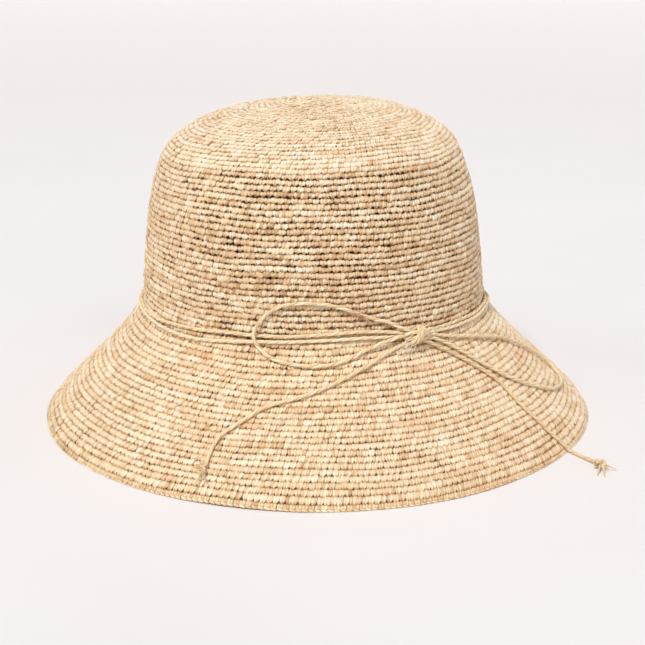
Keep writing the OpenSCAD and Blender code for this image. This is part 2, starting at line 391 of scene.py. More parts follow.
def edge_stitch(w, p):
    """The tubes of one stitch of the finishing round: short legs, and a link of the fine plait along
    the hem, which overlaps its neighbours."""
    # The ends of the legs and of the link are painted darker where they dive in: painted shade.
    tubes = []
    for sign in (-1, 1):
        leg = [(sign * 0.24 * w + 0.1 * w, 0.50 * p, -0.85), (sign * 0.25 * w + 0.05 * w, 0.26 * p, 0.0),
               (sign * 0.20 * w, -0.02 * p, -0.05), (sign * 0.15 * w - 0.05 * w, -0.28 * p, -0.9)]
        leg = smooth_path([(x, y, (z - SINK) * MM) for x, y, z in leg], 5)
        width = 0.29 * w * np.array([0.85, 1.0, 1.0, 0.9, 0.7])
        thick = 0.5 * MM * np.array([0.7, 1.0, 1.0, 0.9, 0.7])
        tubes.append(Tube(leg, width, thick, [-0.6, -0.1, 0.0, -0.15, -0.6]))
    link = [(-0.60 * w, -0.06 * p, -0.75), (-0.28 * w, -0.18 * p, 0.02), (0.22 * w, -0.32 * p, 0.08),
            (0.60 * w, -0.44 * p, -0.75)]
    link = smooth_path([(x, y, (z - SINK) * MM) for x, y, z in link], 6)
    width = 0.66 * MM * np.array([0.5, 0.9, 1.05, 1.0, 0.85, 0.5])
    thick = 0.55 * MM * np.array([0.6, 0.9, 1.0, 1.0, 0.9, 0.6])
    tubes.append(Tube(link, width, thick, [-0.55, -0.1, 0.05, 0.0, -0.1, -0.55]))
    return tubes


def wander(az, s):
    """Rounds drift up and down a little, together with their neighbours."""
    return MM * (0.40 * np.sin(3 * az + 40 * s + 1.0) + 0.28 * np.sin(7 * az - 65 * s + 2.2)
                 + 0.16 * np.sin(13 * az + 150 * s + 0.4))


class Straw:
    """The raffia's own state as the work goes on: each length of straw lasts some stitches,
    and has its own tone, tint and number."""

    def __init__(self):
        self.left = 0
        self.state = (0.0, 0.0, 0.0)

    def next_run(self, n):
        """Tone, tint and number of the straw in each of the next n stitches."""
        rows = np.empty((n, 3))
        at = 0
        while at < n:
            if self.left <= 0:
                self.left = int(rng.integers(2, 12))
                tone = np.clip(rng.normal(0.5, 0.065), 0.1, 0.9)
                self.state = (tone, rng.random(), self.state[2] + 1.0)
            take = min(self.left, n - at)
            rows[at:at + take] = self.state
            at += take
            self.left -= take
        return rows.T


straw = Straw()


def stitch_round(variants, n, s, phase, jitter):
    """n stitches round the hat at distance s from the hem: each is one of the variants, placed
    with its own small turn, size and height. The variants' first half is open work, their second
    half tight work; open stitches gather at the front."""
    step = TURN / n
    az = (np.arange(n) + phase) * step + jitter * 0.04 * step * rng.standard_normal(n)
    tone, tint, number = straw.next_run(n)
    tone = np.clip(tone + 0.06 * rng.standard_normal(n), 0, 1)
    turn = jitter * math.radians(6) * rng.standard_normal(n)
    grow = 1 + jitter * 0.06 * rng.standard_normal(n)
    push = MM * jitter * 0.16 * rng.standard_normal(n)
    slip = MM * jitter * 0.11 * rng.standard_normal(n) + wander(az, s)
    shapes = np.array([np.concatenate([t.verts for t in tubes]) for tubes in variants])
    half = len(variants) // 2
    tight = rng.random(n) > 0.06 + 0.94 * hump(az, -70, 94)
    verts = shapes[rng.integers(0, half, n) + half * tight]
    cos, sin = np.cos(turn)[:, None], np.sin(turn)[:, None]
    x = (verts[:, :, 0] * cos - verts[:, :, 1] * sin) * grow[:, None]
    y = (verts[:, :, 0] * sin + verts[:, :, 1] * cos) * grow[:, None]
    z = verts[:, :, 2] + push[:, None]
    centre_r = max(outline.radius(s), 1.2 * MM)
    points = on_hat(az[:, None] + x / centre_r, s + y + slip[:, None], z)
    tubes = variants[0]
    corners = shapes.shape[1]
    fibre = np.tile(np.concatenate([t.fibre for t in tubes]), (n, 1))
    strand = np.repeat(np.arange(len(tubes)), [len(t.verts) for t in tubes])
    # own: each tube's random tone, plus the tubes' painted shade at their ends.
    own = 0.10 * rng.standard_normal((n, len(tubes)))[:, strand] + np.concatenate([t.tone for t in tubes])
    look = np.stack([
        np.repeat(tone, corners) + own.ravel(),
        np.repeat(tint, corners),
        np.repeat(number + 0.3 * rng.random(n), corners) + 0.37 * np.tile(strand, n),
    ], axis=1)
    return tubes, n, points.reshape(-1, 3), fibre, look


def join_rounds(name, rounds, material):
    """One piece from many rounds: their stitches' tubes side by side on one grid of UV cells."""
    verts, loops, counts, cells, fibres, looks = [], [], [], [], [], []
    base = 0
    for tubes, n, points, fibre, look in rounds:
        verts.append(points)
        fibres.append(fibre)
        looks.append(look)
        starts = np.cumsum([0] + [len(t.verts) for t in tubes])
        one = np.concatenate([t.loops + start for t, start in zip(tubes, starts)])
        loops.append((one[None] + base + starts[-1] * np.arange(n)[:, None]).ravel())
        counts.append(np.tile(np.concatenate([t.counts for t in tubes]), n))
        cells += [t.uv for t in tubes] * n
        base += starts[-1] * n
    rows = math.ceil(math.sqrt(len(cells) * 1.5))
    columns = math.ceil(len(cells) / rows)
    uv = [(one + divmod(i, rows)) / (columns, rows) for i, one in enumerate(cells)]
    return fibre_mesh(name, verts, loops, counts, uv, fibres, looks, material)


# The most triangles that one piece may have, and the stitch shapes that each round draws on.
MAX_TRIANGLES = 190000
OPEN_WORK, TIGHT_WORK = 1, 0.2
SHAPES_OF_EACH = 7
# How far round each round's stitches sit from the last round's, in stitches.
DRIFT = -0.32


def crochet(node, slot, material, s_low, s_high, pitch, jitter, plump, opening, tall):
    """A zone of single crochet between two distances from the hem, in as many pieces as its size needs.
    Each round's stitches stand under the last round's, a little further round as their legs slant."""
    count = round((s_high - s_low) / pitch)
    step = (s_high - s_low) / count
    groups = [[]]
    triangles = 0
    phase = rng.random()
    for i in range(count):
        s = s_high - (i + 0.5) * step
        n = stitches_in_round(s)
        w = TURN * outline.radius(s) / n
        variants = [single_crochet(w, step, plump, opening * grade, tall)
                    for grade in (OPEN_WORK, TIGHT_WORK) for _ in range(SHAPES_OF_EACH)]
        phase = phase + DRIFT + 0.06 * rng.standard_normal()
        more = n * sum(int((t.counts - 2).sum()) for t in variants[0])
        if groups[-1] and triangles + more > MAX_TRIANGLES:
            groups.append([])
            triangles = 0
        groups[-1].append(stitch_round(variants, n, s, phase, jitter))
        triangles += more
    for part, rounds in enumerate(groups, 1):
        belong(join_rounds(f"{node}_{part}", rounds, material), "hat", slot, node)


# -------- cords

# The cords' routes on the hat: (direction, place on the outline, height off the straw in mm), where
# place 0 is the hem, 1 the junction and 2 the shoulder. They are the frame's own routes.
LOOP_LEFT_ROUTE = [
    (-63, 1.05, 3.6), (-67, 1.09, 2), (-72, 1.12, 1.6), (-76, 1.15, 1.6), (-80, 1.18, 1.6),
    (-85, 1.21, 1.6), (-90, 1.22, 1.6), (-95, 1.22, 1.6), (-100, 1.2, 1.7), (-103.5, 1.16, 2),
    (-106, 1.11, 2.8), (-107.5, 1.05, 3.7), (-107.5, 0.99, 3.8), (-106, 0.94, 2.6), (-104, 0.9, 1.8),
    (-100, 0.86, 1.6), (-95, 0.84, 1.6), (-90, 0.83, 1.6), (-85, 0.84, 1.6), (-80, 0.87, 1.6),
    (-76, 0.91, 1.7), (-71, 0.95, 2.4), (-67, 0.97, 3.2), (-63, 0.985, 3.8),
]
LOOP_RIGHT_ROUTE = [
    (-52.5, 0.96, 2.8), (-49.5, 0.945, 1.8), (-45, 0.915, 1.6), (-40, 0.885, 1.6), (-35, 0.855, 1.6),
    (-30, 0.82, 1.6), (-24.5, 0.78, 1.6), (-20, 0.74, 1.6), (-15.5, 0.68, 1.6), (-11, 0.6, 1.6),
    (-7.5, 0.52, 1.6), (-5.5, 0.45, 1.6), (-5, 0.38, 1.6), (-7, 0.32, 1.6), (-11, 0.295, 1.6),
    (-16, 0.31, 1.6), (-20.5, 0.35, 1.6), (-25, 0.42, 1.6), (-29.5, 0.49, 1.6), (-33.5, 0.57, 1.6),
    (-36.5, 0.64, 1.6), (-40, 0.72, 1.6), (-44, 0.81, 1.6), (-48, 0.885, 1.6), (-52, 0.93, 2.2),
]
TAIL_LEFT_ROUTE = [
    (-62, 0.935, 2.2), (-66, 0.91, 1.6), (-71, 0.865, 1.6), (-75, 0.82, 1.6), (-79, 0.78, 1.6),
    (-83, 0.74, 1.6), (-87.5, 0.695, 1.6), (-92, 0.655, 1.6), (-96, 0.625, 1.6), (-100, 0.595, 1.6),
    (-103, 0.56, 1.6), (-105.5, 0.51, 1.6), (-108.5, 0.45, 1.6), (-110.5, 0.4, 1.6),
    (-111.5, 0.34, 1.6), (-111.8, 0.285, 1.6), (-111.9, 0.25, 2), (-111.8, 0.225, 2.6),
]
TAIL_RIGHT_ROUTE = [
    (-53, 0.895, 2.2), (-49.5, 0.845, 1.6), (-45.5, 0.775, 1.6), (-42, 0.7, 1.6), (-39, 0.62, 1.6),
    (-37, 0.54, 1.6), (-36.5, 0.46, 1.6), (-36, 0.37, 1.6), (-34.8, 0.27, 1.6), (-33.9, 0.17, 1.6),
    (-32.9, 0.08, 1.7), (-32.2, 0.03, 1.9),
]
# Past the hem the right tail goes on over the table: (direction, radius in mm, height in mm).
TAIL_RIGHT_FREE = [
    (-31.9, 156.6, 1.6), (-32.4, 160.5, 1.2), (-33.2, 165.5, 1.2), (-34.3, 171, 2), (-35, 174.4, 2.9),
]
# The two turns round the crown's foot.
UPPER_TURN = [
    (-195, 0.99, 0.8), (-178, 0.985, 0.8), (-166, 0.98, 0.9), (-157, 0.975, 1.1), (-147, 0.975, 1.2),
    (-139, 0.99, 1.2), (-132, 1.0, 1.2), (-125, 1.01, 1.2), (-119, 1.02, 1.2), (-107, 1.025, 1.2),
    (-97, 1.03, 1.2), (-84, 1.045, 1.2), (-77, 1.05, 1.3), (-69, 1.04, 1.7), (-63, 1.02, 2.3),
    (-57.5, 1.005, 2.4), (-52, 1.005, 2.2), (-46, 1.0, 1.6), (-38, 1.0, 1.2), (-28, 0.99, 1.1),
    (-20, 0.99, 0.9), (-8, 1.0, 0.8), (20, 1.02, 0.8), (60, 1.02, 0.8), (100, 1.02, 0.8), (140, 1.0, 0.8),
]
LOWER_TURN = [
    (-195, 0.96, 0.8), (-178, 0.96, 0.8), (-166, 0.958, 0.9), (-157, 0.95, 1.1), (-147, 0.94, 1.2),
    (-139, 0.933, 1.2), (-131, 0.932, 1.2), (-124, 0.942, 1.2), (-116, 0.962, 1.2), (-107, 0.982, 1.2),
    (-97, 0.995, 1.2), (-84, 1.01, 1.2), (-74, 1.012, 1.4), (-66, 1.0, 1.9), (-57.5, 0.99, 2.4),
    (-51, 0.98, 1.9), (-44, 0.97, 1.4), (-36, 0.965, 1.2), (-28, 0.96, 1.1), (-18, 0.965, 0.9),
    (0, 0.975, 0.8), (40, 0.985, 0.8), (80, 0.985, 0.8), (120, 0.975, 0.8), (148, 0.965, 0.8),
]

CORD_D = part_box("band_cord_upper")[1].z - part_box("band_cord_upper")[0].z
CORD_STEP = 0.45 * MM
CORD_LAY = 10.5 * MM
BOW_AZ = -57.5
# How much lower than on the frame's plain shell a cord lies, in millimetres, as it beds into the straw.
CORD_REST = 0.45


def route_on_hat(route):
    az, place, lift = np.array(route, float).T
    return on_hat(np.radians(az), outline.along(place), (lift - CORD_REST) * MM)


def route_free(route):
    az, r, z = np.array(route, float).T
    return MM * np.stack([r * np.cos(np.radians(az)), r * np.sin(np.radians(az)), z], axis=1)


def even_line(points, spacing, closed=False):
    """A smooth curve through the points, resampled at an even spacing."""
    p = np.asarray(points, float)
    if closed:
        p = np.vstack([p[-2:], p, p[:3]])
    line = smooth_path(p, 40 * len(p))
    if closed:
        line = line[80:-80]
    run = run_along(line)
    at = np.linspace(0, run[-1], max(8, int(run[-1] / spacing)))
    return np.stack([np.interp(at, run, line[:, k]) for k in range(3)], axis=1)


def cord_frames(line, closed):
    """The sideways and the away-from-the-hat direction at each point of a cord's line."""
    if closed:
        tangent = unit(np.roll(line, -1, axis=0) - np.roll(line, 1, axis=0))
    else:
        tangent = unit(np.gradient(line, axis=0))
    away = unit(unit(line * (1, 1, 0)) + np.array([0, 0, 1.0]))
    side = unit(np.cross(tangent, away))
    return side, np.cross(side, tangent)


def ring_faces(rings, sides):
    """Corners, corner counts and UVs of a tube whose last ring joins its first."""
    i = np.arange(rings)[:, None]
    k = np.arange(sides)[None]
    after, beside = (i + 1) % rings, (k + 1) % sides
    quads = np.stack([i * sides + k, i * sides + beside, after * sides + beside, after * sides + k], axis=-1)
    uv = np.stack(np.broadcast_arrays((i[..., None] + np.array([0, 0, 1, 1])) / rings,
                                      (k[..., None] + np.array([0, 1, 1, 0])) / sides), axis=-1)
    return quads.reshape(-1), np.full(rings * sides, 4), uv.reshape(-1, 2)


class CordMesh:
    """Collects tubes of a cord, a knot or loose fibres, and makes one mesh of them."""

    def __init__(self):
        self.verts, self.loops, self.counts, self.uv = [], [], [], []
        self.fibre, self.look = [], []
        self.base = 0

    def tube(self, line, side, lift, width, thick, tone, tint, sides=8, closed=False):
        verts, fibre = tube_points(line, side, lift, width, thick, sides)
        loops, counts, uv = (ring_faces if closed else tube_faces)(len(line), sides)
        self.verts.append(verts)
        self.loops.append(loops + self.base)
        self.counts.append(counts)
        self.uv.append(uv)
        self.fibre.append(fibre)
        number = len(self.verts) * 1.7 + 100 * rng.random()
        self.look.append(np.tile([float(tone), tint, number], (len(verts), 1)))
        self.base += len(verts)

    def finish(self, name, body, slot, material, node):
        uv = [(one + (0, i)) / (1, len(self.uv)) for i, one in enumerate(self.uv)]
        piece = fibre_mesh(name, self.verts, self.loops, self.counts, uv, self.fibre, self.look, material)
        belong(piece, body, slot, node)
        return piece


def twist_cord(mesh, line, diameter=CORD_D, closed=False, lay=CORD_LAY, tone=0.62):
    """Two plies of raffia wound round each other along a line, one turn in each lay."""
    side, lift = cord_frames(line, closed)
    run = run_along(line)
    total = run[-1] + (np.linalg.norm(line[0] - line[-1]) if closed else 0)
    turns = round(total / lay) if closed else total / lay
    start = TURN * rng.random()
    for ply in (0, 1):
        wave = 0.5 + 0.5 * np.sin(TURN * run / total * (9 + 4 * ply) + start)
        angle = start + math.pi * ply + TURN * turns * run / total
        out = np.cos(angle)[:, None] * side + np.sin(angle)[:, None] * lift
        over = -np.sin(angle)[:, None] * side + np.cos(angle)[:, None] * lift
        centre = line + 0.235 * diameter * out
        width = diameter * (0.39 + 0.04 * wave)
        thick = diameter * (0.27 + 0.03 * (1 - wave))
        mesh.tube(centre, over, out, width, thick, tone + 0.10 * rng.standard_normal(), rng.random(),
                  closed=closed)


def fibre_hair(mesh, start, direction, length, radius, curl=0.3, tone=0.85):
    """One loose fibre that leaves start in a direction, curling a little as it goes, and lies on the
    table where it reaches it."""
    d = unit(np.array(direction, float))
    across = unit(np.cross(d, rng.standard_normal(3)))
    t = np.linspace(0, 1, 7)[:, None]
    ripple = 0.08 * np.sin(5 * t) * np.cross(d, across)
    line = start + length * (d * t + curl * across * t * t + ripple)
    line[:, 2] = np.maximum(line[:, 2], radius)
    tangent = unit(np.gradient(line, axis=0))
    side = unit(np.cross(tangent, across + 0.2 * d))
    taper = radius * np.linspace(1, 0.35, 7)
    mesh.tube(line, side, np.cross(side, tangent), taper * 1.5, taper * 0.6, tone, rng.random(), sides=5)


def knot_line(centre, along, up, size):
    """The line of an overhand knot pulled tight: a cloverleaf that the cord enters and leaves."""
    along = unit(along)
    side = unit(np.cross(up, along))
    up = np.cross(along, side)
    t = np.linspace(0.35, TURN - 0.35, 70)
    x = np.sin(t) + 2 * np.sin(2 * t)
    y = np.cos(t) - 2 * np.cos(2 * t)
    z = -np.sin(3 * t)
    return centre + size * (x[:, None] * along * 0.95 + y[:, None] * side * 0.8 + z[:, None] * up * 0.9)


def box_middle(node):
    low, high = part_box(node)
    return (np.array(low) + np.array(high)) / 2


def bow_frame():
    """The bow knot's middle, its direction along the band, and its outward direction."""
    az = math.radians(BOW_AZ)
    across = np.array([-math.sin(az), math.cos(az), 0])
    return box_middle("bow_knot"), across, np.array([math.cos(az), math.sin(az), 0])


# -------- materials

def srgb(r, g, b):
    """A colour given as 0 to 255 in sRGB."""
    return tuple(((c / 255 + 0.055) / 1.055) ** 2.4 for c in (r, g, b)) + (1.0,)


class Nodes:
    """Short calls for building a node material."""

    def __init__(self, name):
        self.material = bpy.data.materials.new(name)
        self.material.use_nodes = True
        self.tree = self.material.node_tree
        self.shader = self.tree.nodes["Principled BSDF"]

    def add(self, kind, **settings):
        node = self.tree.nodes.new(kind)
        for key, value in settings.items():
            setattr(node, key, value)
        return node

    def put(self, socket, value):
        if isinstance(value, bpy.types.NodeSocket):
            self.tree.links.new(value, socket)
        else:
            socket.default_value = value

    def attribute(self, name):
        return self.add("ShaderNodeAttribute", attribute_name=name).outputs["Vector"]

    def split(self, vector):
        node = self.add("ShaderNodeSeparateXYZ")
        self.put(node.inputs[0], vector)
        return node.outputs

    def join(self, x, y, z):
        node = self.add("ShaderNodeCombineXYZ")
        for socket, value in zip(node.inputs, (x, y, z)):
            self.put(socket, value)
        return node.outputs[0]

    def math(self, operation, a, b=0.0):
        node = self.add("ShaderNodeMath", operation=operation)
        for socket, value in zip(node.inputs, (a, b)):
            self.put(socket, value)
        return node.outputs[0]

    def times(self, a, b):
        return self.math("MULTIPLY", a, b)

    def plus(self, a, b):
        return self.math("ADD", a, b)

    def place(self):
        return self.add("ShaderNodeTexCoord").outputs["Object"]

    def noise(self, vector, scale, detail, rough, w=None):
        node = self.add("ShaderNodeTexNoise", noise_dimensions="3D" if w is None else "4D")
        self.put(node.inputs["Vector"], vector)
        self.put(node.inputs["Scale"], scale)
        self.put(node.inputs["Detail"], detail)
        self.put(node.inputs["Roughness"], rough)
        if w is not None:
            self.put(node.inputs["W"], w)
        return node.outputs["Fac"]

    def ramp(self, value, *stops):
        node = self.add("ShaderNodeValToRGB")
        elements = node.color_ramp.elements
        while len(elements) < len(stops):
            elements.new(0.5)
        for element, (place, colour) in zip(elements, stops):
            element.position = place
            element.color = colour
        self.put(node.inputs[0], value)
        return node.outputs["Color"]

    def mix(self, amount, a, b):
        node = self.add("ShaderNodeMix", data_type="RGBA")
        self.put(node.inputs[0], amount)
        self.put(node.inputs[6], a)
        self.put(node.inputs[7], b)
        return node.outputs[2]

    def remap(self, value, low, high, to_low, to_high):
        node = self.add("ShaderNodeMapRange")
        for socket, v in zip(node.inputs, (value, low, high, to_low, to_high)):
            self.put(socket, v)
        return node.outputs[0]

    def bump(self, height, strength, distance):
        node = self.add("ShaderNodeBump")
        self.put(node.inputs["Height"], height)
        self.put(node.inputs["Strength"], strength)
        self.put(node.inputs["Distance"], distance)
        self.put(self.shader.inputs["Normal"], node.outputs[0])

    def surface(self, colour, roughness):
        self.put(self.shader.inputs["Base Color"], colour)
        self.put(self.shader.inputs["Roughness"], roughness)


# The darkest straw colour: painted shade, reached only by the stitches' painted-shade tones in their ends and
# holes.
SHADE_PAINTED_STRAW = (118, 70, 34)


def raffia_material(name, dark, middle, light, tint, tint_share, streak):
    """Raffia: flat, half-glossy straw with streaks along each strand. Each strand has its own tone,
    and a few take on the tint."""
    m = Nodes(name)
    along, round_x, round_y = m.split(m.attribute("fibre"))
    tone, hue, number = m.split(m.attribute("look"))
    w = m.times(number, 3.1)
    strand = m.join(m.times(along, 130.0), m.times(round_x, 1.6), m.times(round_y, 1.6))
    fine = m.join(m.times(along, 260.0), m.times(round_x, 5.5), m.times(round_y, 5.5))
    streaks = m.noise(strand, 1.0, 3.0, 0.6, w)
    fibres = m.noise(fine, 1.0, 2.0, 0.55, w)
    shade = m.plus(tone, m.times(m.math("SUBTRACT", streaks, 0.5), 1.5 * streak))
    shade = m.plus(shade, m.times(m.math("SUBTRACT", fibres, 0.5), 0.8 * streak))
    # Tones below 0 come from the stitches' painted shade and run down to the painted-shade colour at the
    # ramp's first stop.
    shade = m.remap(shade, -0.6, 1.0, 0.0, 1.0)
    base = m.ramp(shade, (0.0, srgb(*SHADE_PAINTED_STRAW)), (0.375, srgb(*dark)), (0.65, srgb(*middle)),
                  (0.94, srgb(*light)))
    tinted = m.times(m.math("GREATER_THAN", hue, 1 - tint_share), m.remap(streaks, 0.35, 0.6, 0.1, 0.55))
    m.surface(m.mix(tinted, base, srgb(*tint)), m.remap(fibres, 0.3, 0.7, 0.48, 0.72))
    for socket, value in (("Specular IOR Level", 0.35), ("Sheen Weight", 0.12), ("Sheen Roughness", 0.45),
                          ("Subsurface Weight", 0.22), ("Subsurface Radius", (1.0, 0.55, 0.28)),
                          ("Subsurface Scale", 0.9 * MM)):
        m.shader.inputs[socket].default_value = value
    m.bump(m.plus(m.times(streaks, 0.7), m.times(fibres, 0.6)), 0.55, 0.25 * MM)
    return m.material


def ribbon_material():
    """Grosgrain: fine ribs across a cream ribbon, with painted shade in the grooves between the ribs."""
    m = Nodes("grosgrain")
    place = m.place()
    rib_height = 0.9 * MM
    ribs = m.math("SINE", m.times(m.split(place)["Z"], TURN / rib_height))
    cloth = m.noise(place, 900.0, 2.0, 0.6)
    patch = m.noise(place, 25.0, 2.0, 0.5)
    base = m.ramp(patch, (0.3, srgb(222, 210, 186)), (0.7, srgb(238, 229, 208)))
    # Painted shade: the ribbon is darker in the grooves between the ribs.
    base = m.mix(m.remap(ribs, -1.0, 0.2, 0.35, 0.0), base, srgb(188, 172, 142))
    m.surface(base, m.remap(cloth, 0.3, 0.7, 0.7, 0.88))
    m.shader.inputs["Sheen Weight"].default_value = 0.2
    m.bump(m.plus(ribs, m.times(cloth, 0.4)), 0.6, 0.12 * MM)
    return m.material


def thread_material():
    m = Nodes("thread")
    twist = m.noise(m.place(), 1600.0, 2.0, 0.6)
    m.surface(m.ramp(twist, (0.3, srgb(214, 203, 178)), (0.7, srgb(244, 238, 222))),
              m.remap(twist, 0.3, 0.7, 0.5, 0.7))
    m.bump(twist, 0.5, 0.1 * MM)
    return m.material


def studio_material():
    """A pale matt floor with very faint cloudiness, painted a little darker away from the middle: painted
    shade.
    """
    m = Nodes("studio_floor")
    place = m.place()
    cloud = m.noise(place, 2.2, 3.0, 0.55)
    base = m.ramp(cloud, (0.35, srgb(235, 233, 234)), (0.65, srgb(241, 239, 241)))
    far = m.add("ShaderNodeVectorMath", operation="LENGTH")
    m.put(far.inputs[0], place)
    # Painted shade: the floor is painted darker away from the middle, where less light would reach it.
    depth = m.remap(far.outputs["Value"], 0.3, 1.3, 0.0, 1.0)
    m.surface(m.mix(depth, base, srgb(233, 230, 230)), m.remap(cloud, 0.3, 0.7, 0.85, 0.95))
    return m.material


# -------- the scene's pieces

def make_studio_floor():
    """The pale floor: a wide disc whose rim curves up all round."""
    flat, bend, top, corners = 3.6, 1.4, 2.0, 96
    profile = [(0.02, 0.0), (0.4, 0.0), (1.2, 0.0)]
    profile += [(flat + bend * math.sin(a), bend - bend * math.cos(a))
                for a in np.linspace(0, math.pi / 2, 15)]
    profile.append((flat + bend, top))
    verts = [(r * math.cos(a), r * math.sin(a), z) for r, z in profile
             for a in TURN * np.arange(corners) / corners]
    faces = [tuple(range(corners))]
    for i in range(len(profile) - 1):
        for k in range(corners):
            n = (k + 1) % corners
            faces.append((i * corners + k, (i + 1) * corners + k, (i + 1) * corners + n, i * corners + n))
    plain_mesh("studio_floor", verts, faces, studio_material())


def free_cord(name, body, line, node):
    """A free length of the twisted cord."""
    mesh = CordMesh()
    twist_cord(mesh, line)
    piece = mesh.finish(name, body, "raffia_cord", straws["cord"], node)


def end_knot(name, body, node, along, up):
    """The overhand knot near the end of a tail, and its middle."""
    centre = box_middle(node)
    mesh = CordMesh()
    line = even_line(knot_line(centre, along, up, 1.02 * MM), CORD_STEP)
    twist_cord(mesh, line, 1.85 * MM, lay=5 * MM, tone=0.5)
    return mesh.finish(name, body, "raffia_cord", straws["cord"], node), centre


def frayed_end(name, body, node, centre, heading, up, strands, hairs):
    """The split ends beyond a knot: a few flat strands, each (turn from the heading in degrees,
    length in mm), and some hairs."""
    mesh = CordMesh()
    heading = unit(np.array(heading))
    side = unit(np.cross(up, heading))
    for turn, length in strands:
        a = math.radians(turn)
        d = heading * math.cos(a) + side * math.sin(a)
        fibre_hair(mesh, centre + 1.8 * MM * d, d, length * MM, 0.62 * MM, 0.12, 0.45)
    for _ in range(hairs):
        d = heading + 0.8 * (rng.random(3) - 0.5) * (1, 1, 0.3)
        fibre_hair(mesh, centre + 1.8 * MM * unit(d), d, (3 + 5 * rng.random()) * MM, 0.12 * MM, 0.3)
    return mesh.finish(name, body, "raffia_ends", straws["ends"], node)


def make_tail(hand, start, route, up, heading, strands, hairs):
    """A tail of the bow: its overhand knot, the frayed ends past the knot, and the cord up to it."""
    body = f"tail_{hand}"
    down = route[-1] - route[-2]
    knot, middle = end_knot(f"{hand}_tail_knot", body, f"tail_knot_{hand}", down, up)
    ends = frayed_end(f"{hand}_frayed_ends", body, f"frayed_ends_{hand}", middle, heading, up, strands, hairs)
    line = even_line(np.vstack([start - (0, 0, 1.5 * MM), route, middle]), CORD_STEP)
    free_cord(f"{hand}_tail", body, line, f"bow_tail_{hand}")


def make_bow():
    """The loops and tails of the bow, each from its place in the bow's knot to its end."""
    centre, across, out = bow_frame()
    left_in, right_in = centre - 1.0 * MM * across, centre + 1.0 * MM * across
    loop = even_line(np.vstack([left_in + (0, 0, 1.2 * MM), route_on_hat(LOOP_LEFT_ROUTE),
                                left_in - (0, 0, 0.4 * MM)]), CORD_STEP)
    tuft = make_splice(loop)
    free_cord("left_loop", "loop_left", loop, "bow_loop_left")
    loop = even_line(np.vstack([right_in + (0, 0, 0.4 * MM), route_on_hat(LOOP_RIGHT_ROUTE),
                                right_in - (0, 0, 1.0 * MM)]), CORD_STEP)
    free_cord("right_loop", "loop_right", loop, "bow_loop_right")
    make_tail("left", left_in, route_on_hat(TAIL_LEFT_ROUTE), (0.2, -0.6, 0.75), (0.05, -0.55, -0.62),
              [(-14, 8), (16, 9)], 5)
    make_tail("right", right_in, np.vstack([route_on_hat(TAIL_RIGHT_ROUTE), route_free(TAIL_RIGHT_FREE)]),
              (0, 0, 1), (0.45, -0.80, -0.25), [(30, 7), (-24, 9), (-46, 8)], 6)


def make_splice(loop):
    """A fuzzy reddish splice on the left loop."""
    nearest = int(np.linalg.norm(loop - box_middle("splice_tuft"), axis=1).argmin())
    at = loop[nearest]
    along = unit(loop[nearest + 4] - loop[nearest - 4])
    mesh = CordMesh()
    for _ in range(26):
        spread = 0.55 * rng.standard_normal(3)
        d = along * rng.choice([-1, 1]) + spread
        start = at + along * (rng.random() - 0.5) * 6 * MM + 0.35 * MM * rng.standard_normal(3)
        fibre_hair(mesh, start, d, (2.5 + 3 * rng.random()) * MM, 0.28 * MM, 0.35, 0.35 + 0.5 * rng.random())
    return mesh.finish("left_loop_splice", "loop_left", "raffia_splice", straws["splice"], "splice_tuft")


